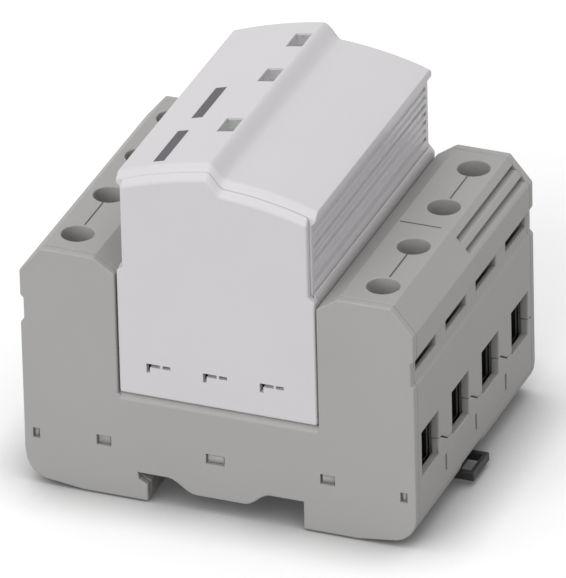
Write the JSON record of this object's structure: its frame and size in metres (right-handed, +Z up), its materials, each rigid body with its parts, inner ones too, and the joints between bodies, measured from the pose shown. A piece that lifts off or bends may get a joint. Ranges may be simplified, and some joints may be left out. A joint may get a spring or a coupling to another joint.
{
  "type": "din rail surge arrester",
  "caption": "U-shaped rail-mounted base with screw terminals along both shoulders and a pull-out plug between them that holds spark gaps and shows its state in small roof windows.",
  "frame": {"origin": "middle of the rail seat, in the plane of the rail's flanges", "axes": "+X across the rail towards the latch, +Y along the rail, +Z up away from the rail"},
  "size_m": [0.0899, 0.0712, 0.082],
  "materials": {
    "base_polyamide": "moulded, fine eroded grain",
    "plug_polycarbonate": "moulded, satin",
    "latch_polyamide": "moulded, glass filled",
    "spring_steel": "rolled strip",
    "zinc_plated_screw": "zinc plated",
    "zinc_plated_cage": "zinc plated, folded",
    "tinned_copper": "stamped",
    "brass_blade": "stamped",
    "clear_window": "clear, polished",
    "flag_enamel": "coloured through",
    "carrier_plastic": "moulded",
    "potting_resin": "cast",
    "circuit_board": "solder mask"
  },
  "bodies": {
    "base": {"base_tray": "base_polyamide", "terminal_block_right": "base_polyamide", "terminal_block_left": "base_polyamide", "front_end_plate": "base_polyamide", "rear_end_plate": "base_polyamide", "latch_spring": "spring_steel", "contact_bar_1": "tinned_copper", "contact_bar_2": "tinned_copper", "contact_bar_3": "tinned_copper", "contact_bar_4": "tinned_copper", "contact_bar_5": "tinned_copper", "contact_bar_6": "tinned_copper", "contact_bar_7": "tinned_copper", "contact_bar_8": "tinned_copper"},
    "plug": {"plug_cover": "plug_polycarbonate", "plug_base": "plug_polycarbonate", "plug_front_plate": "plug_polycarbonate", "plug_rear_plate": "plug_polycarbonate", "status_window_1": "clear_window", "status_window_2": "clear_window", "status_window_3": "clear_window", "flag_carrier": "carrier_plastic", "plug_blade_1": "brass_blade", "plug_blade_2": "brass_blade", "plug_blade_3": "brass_blade", "plug_blade_4": "brass_blade", "plug_blade_5": "brass_blade", "plug_blade_6": "brass_blade", "plug_blade_7": "brass_blade", "plug_blade_8": "brass_blade", "spark_gap_1": "potting_resin", "spark_gap_2": "potting_resin", "spark_gap_3": "potting_resin", "spark_gap_4": "potting_resin", "trigger_board": "circuit_board"},
    "rail_latch": {"rail_latch": "latch_polyamide"},
    "screw_1": {"terminal_screw_1": "zinc_plated_screw"},
    "cage_1": {"clamp_cage_1": "zinc_plated_cage"},
    "screw_2": {"terminal_screw_2": "zinc_plated_screw"},
    "cage_2": {"clamp_cage_2": "zinc_plated_cage"},
    "screw_3": {"terminal_screw_3": "zinc_plated_screw"},
    "cage_3": {"clamp_cage_3": "zinc_plated_cage"},
    "screw_4": {"terminal_screw_4": "zinc_plated_screw"},
    "cage_4": {"clamp_cage_4": "zinc_plated_cage"},
    "screw_5": {"terminal_screw_5": "zinc_plated_screw"},
    "cage_5": {"clamp_cage_5": "zinc_plated_cage"},
    "screw_6": {"terminal_screw_6": "zinc_plated_screw"},
    "cage_6": {"clamp_cage_6": "zinc_plated_cage"},
    "screw_7": {"terminal_screw_7": "zinc_plated_screw"},
    "cage_7": {"clamp_cage_7": "zinc_plated_cage"},
    "screw_8": {"terminal_screw_8": "zinc_plated_screw"},
    "cage_8": {"clamp_cage_8": "zinc_plated_cage"},
    "flag_1": {"status_flag_1": "flag_enamel"},
    "flag_2": {"status_flag_2": "flag_enamel"},
    "flag_3": {"status_flag_3": "flag_enamel"}
  },
  "joints": [
    {"name": "plug_pull", "type": "slide", "parent": "base", "child": "plug", "axis": [0, 0, 1], "range_m": [0, 0.06]},
    {"name": "latch_pull", "type": "slide", "parent": "base", "child": "rail_latch", "axis": [1, 0, 0], "range_m": [0, 0.0035], "stiffness_N_per_m": 1500, "springref_m": -0.003, "deforming": ["latch_spring"]},
    {"name": "screw_turn_1", "type": "hinge", "parent": "base", "child": "screw_1", "pos_m": [0.0341, -0.0267, 0.03], "axis": [0, 0, -1], "range_deg": [0, 3825]},
    {"name": "cage_rise_1", "type": "slide", "parent": "base", "child": "cage_1", "axis": [0, 0, 1], "range_m": [0, 0.0085]},
    {"name": "screw_turn_2", "type": "hinge", "parent": "base", "child": "screw_2", "pos_m": [0.0341, -0.0089, 0.03], "axis": [0, 0, -1], "range_deg": [0, 3825]},
    {"name": "cage_rise_2", "type": "slide", "parent": "base", "child": "cage_2", "axis": [0, 0, 1], "range_m": [0, 0.0085]},
    {"name": "screw_turn_3", "type": "hinge", "parent": "base", "child": "screw_3", "pos_m": [0.0341, 0.0089, 0.03], "axis": [0, 0, -1], "range_deg": [0, 3825]},
    {"name": "cage_rise_3", "type": "slide", "parent": "base", "child": "cage_3", "axis": [0, 0, 1], "range_m": [0, 0.0085]},
    {"name": "screw_turn_4", "type": "hinge", "parent": "base", "child": "screw_4", "pos_m": [0.0341, 0.0267, 0.03], "axis": [0, 0, -1], "range_deg": [0, 3825]},
    {"name": "cage_rise_4", "type": "slide", "parent": "base", "child": "cage_4", "axis": [0, 0, 1], "range_m": [0, 0.0085]},
    {"name": "screw_turn_5", "type": "hinge", "parent": "base", "child": "screw_5", "pos_m": [-0.0341, -0.0267, 0.03], "axis": [0, 0, -1], "range_deg": [0, 3825]},
    {"name": "cage_rise_5", "type": "slide", "parent": "base", "child": "cage_5", "axis": [0, 0, 1], "range_m": [0, 0.0085]},
    {"name": "screw_turn_6", "type": "hinge", "parent": "base", "child": "screw_6", "pos_m": [-0.0341, -0.0089, 0.03], "axis": [0, 0, -1], "range_deg": [0, 3825]},
    {"name": "cage_rise_6", "type": "slide", "parent": "base", "child": "cage_6", "axis": [0, 0, 1], "range_m": [0, 0.0085]},
    {"name": "screw_turn_7", "type": "hinge", "parent": "base", "child": "screw_7", "pos_m": [-0.0341, 0.0089, 0.03], "axis": [0, 0, -1], "range_deg": [0, 3825]},
    {"name": "cage_rise_7", "type": "slide", "parent": "base", "child": "cage_7", "axis": [0, 0, 1], "range_m": [0, 0.0085]},
    {"name": "screw_turn_8", "type": "hinge", "parent": "base", "child": "screw_8", "pos_m": [-0.0341, 0.0267, 0.03], "axis": [0, 0, -1], "range_deg": [0, 3825]},
    {"name": "cage_rise_8", "type": "slide", "parent": "base", "child": "cage_8", "axis": [0, 0, 1], "range_m": [0, 0.0085]},
    {"name": "flag_slide_1", "type": "slide", "parent": "plug", "child": "flag_1", "axis": [1, 0, 0], "range_m": [0, 0.0046]},
    {"name": "flag_slide_2", "type": "slide", "parent": "plug", "child": "flag_2", "axis": [1, 0, 0], "range_m": [0, 0.0046]},
    {"name": "flag_slide_3", "type": "slide", "parent": "plug", "child": "flag_3", "axis": [1, 0, 0], "range_m": [0, 0.0046]}
  ],
  "couplings": [
    {"joint": "screw_turn_1", "follows": "cage_rise_1", "rad_per_m": 7854},
    {"joint": "screw_turn_2", "follows": "cage_rise_2", "rad_per_m": 7854},
    {"joint": "screw_turn_3", "follows": "cage_rise_3", "rad_per_m": 7854},
    {"joint": "screw_turn_4", "follows": "cage_rise_4", "rad_per_m": 7854},
    {"joint": "screw_turn_5", "follows": "cage_rise_5", "rad_per_m": 7854},
    {"joint": "screw_turn_6", "follows": "cage_rise_6", "rad_per_m": 7854},
    {"joint": "screw_turn_7", "follows": "cage_rise_7", "rad_per_m": 7854},
    {"joint": "screw_turn_8", "follows": "cage_rise_8", "rad_per_m": 7854}
  ]
}
